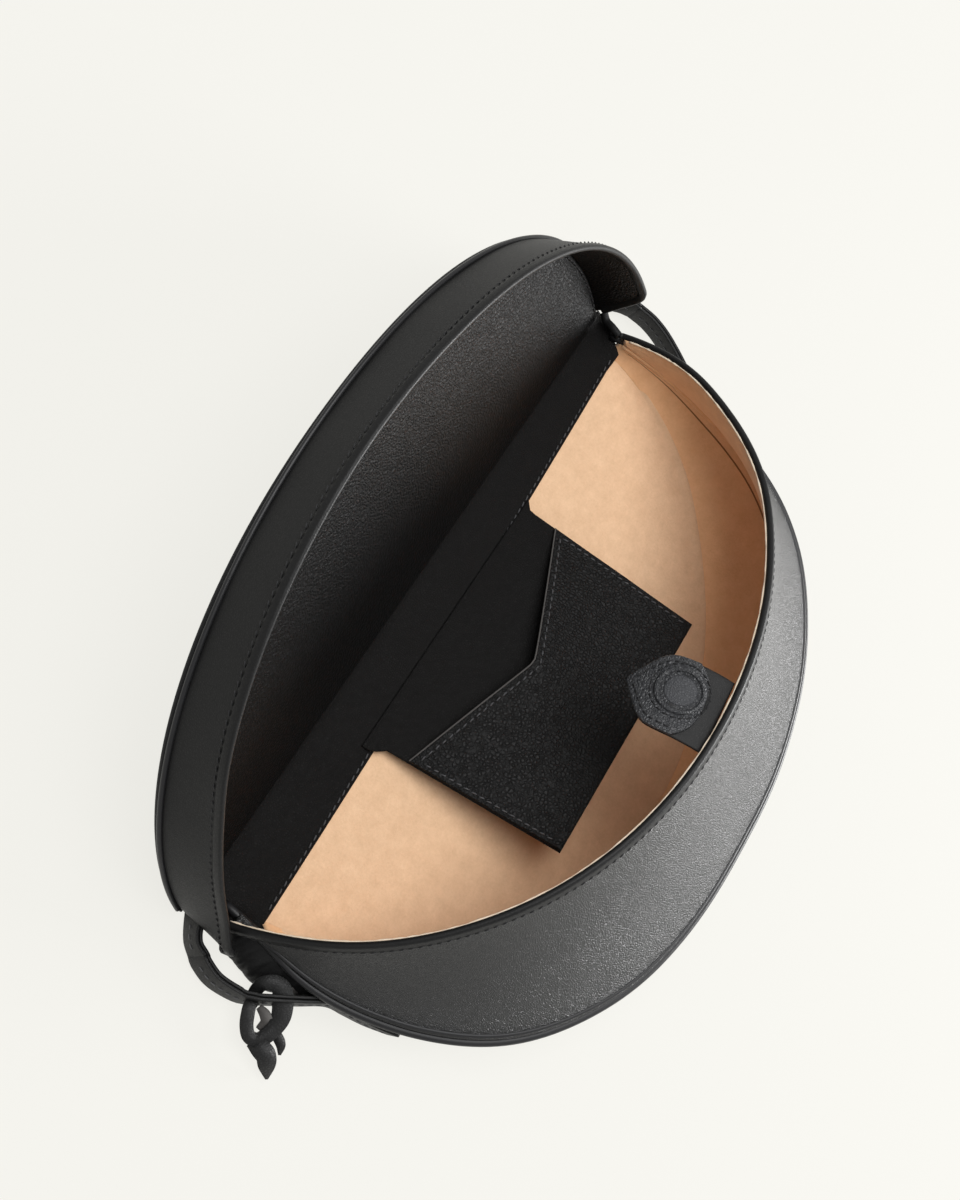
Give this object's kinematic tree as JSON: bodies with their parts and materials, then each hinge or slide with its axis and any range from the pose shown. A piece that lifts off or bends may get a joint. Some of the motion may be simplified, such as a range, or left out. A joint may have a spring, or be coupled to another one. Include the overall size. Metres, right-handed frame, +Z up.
{
  "type": "half-moon flap shoulder bag",
  "caption": "Small half-moon leather shoulder bag lying open on its back, with a lipped flap, a magnet tab, an inner card pocket and a thin strap tied with a lace.",
  "frame": {"origin": "on the ground under the middle of the hinge side of the bag, in the plane of the back panel's outer face", "axes": "+X along the flap's hinge line, +Y from the hinge to the curved bottom, +Z up, away from the back panel"},
  "size_m": [0.316, 0.2245, 0.1006],
  "materials": {
    "smooth_leather": "smooth black leather with a soft sheen",
    "grained_leather": "fine grained black leather",
    "fine_leather": "matt fine grained black leather",
    "suede": "tan suede with a short nap",
    "black_binding": "satin black leather over a cord",
    "magnet_steel": "dull plated steel"
  },
  "bodies": {
    "bag_body": {"back_panel": "grained_leather", "back_lining": "suede", "top_facing": "fine_leather", "gusset": "smooth_leather", "gusset_lining": "suede", "front_wall": "smooth_leather", "front_wall_lining": "suede", "base_piping": "black_binding", "rim_binding": "black_binding", "strap_end_left": "smooth_leather", "strap_end_lining_left": "smooth_leather", "strap_end_right": "smooth_leather", "strap_end_lining_right": "smooth_leather"},
    "flap": {"flap_panel": "smooth_leather", "flap_lining": "grained_leather", "flap_lip": "smooth_leather", "flap_lip_lining": "grained_leather", "lip_edge": "smooth_leather", "flap_piping": "black_binding", "flap_root": "fine_leather", "flap_magnet": "magnet_steel", "flap_magnet_ring": "grained_leather"},
    "magnet_tab": {"tab_backing": "grained_leather", "tab_face": "grained_leather", "tab_magnet": "grained_leather"},
    "card_pocket": {"pocket_back": "grained_leather", "pocket_front": "grained_leather"},
    "strap": {"strap_outer": "smooth_leather", "strap_inner": "smooth_leather"},
    "lace": {"strap_lace": "smooth_leather"}
  },
  "joints": [
    {"name": "flap_hinge", "type": "hinge", "parent": "bag_body", "child": "flap", "pos_m": [0, -0.053, 0.0045], "axis": [-1, 0, 0], "range_deg": [-6, 89]},
    {"name": "tab_hinge", "type": "hinge", "parent": "bag_body", "child": "magnet_tab", "pos_m": [0, 0.02611, 0.07263], "axis": [-1, 0, 0], "range_deg": [-50, 1.5]},
    {"name": "pocket_hinge", "type": "hinge", "parent": "bag_body", "child": "card_pocket", "pos_m": [0, -0.0438, 0.0051], "axis": [1, 0, 0], "range_deg": [-15, 18]},
    {"name": "strap_swing", "type": "hinge", "parent": "bag_body", "child": "strap", "pos_m": [0, -0.051, 0.00893], "axis": [-1, 0, 0], "range_deg": [0, 10]},
    {"name": "lace_swing", "type": "hinge", "parent": "bag_body", "child": "lace", "pos_m": [0.14547, -0.02945, 0.01659], "axis": [0.367, -0.9302, 0], "range_deg": [0, 10]}
  ]
}
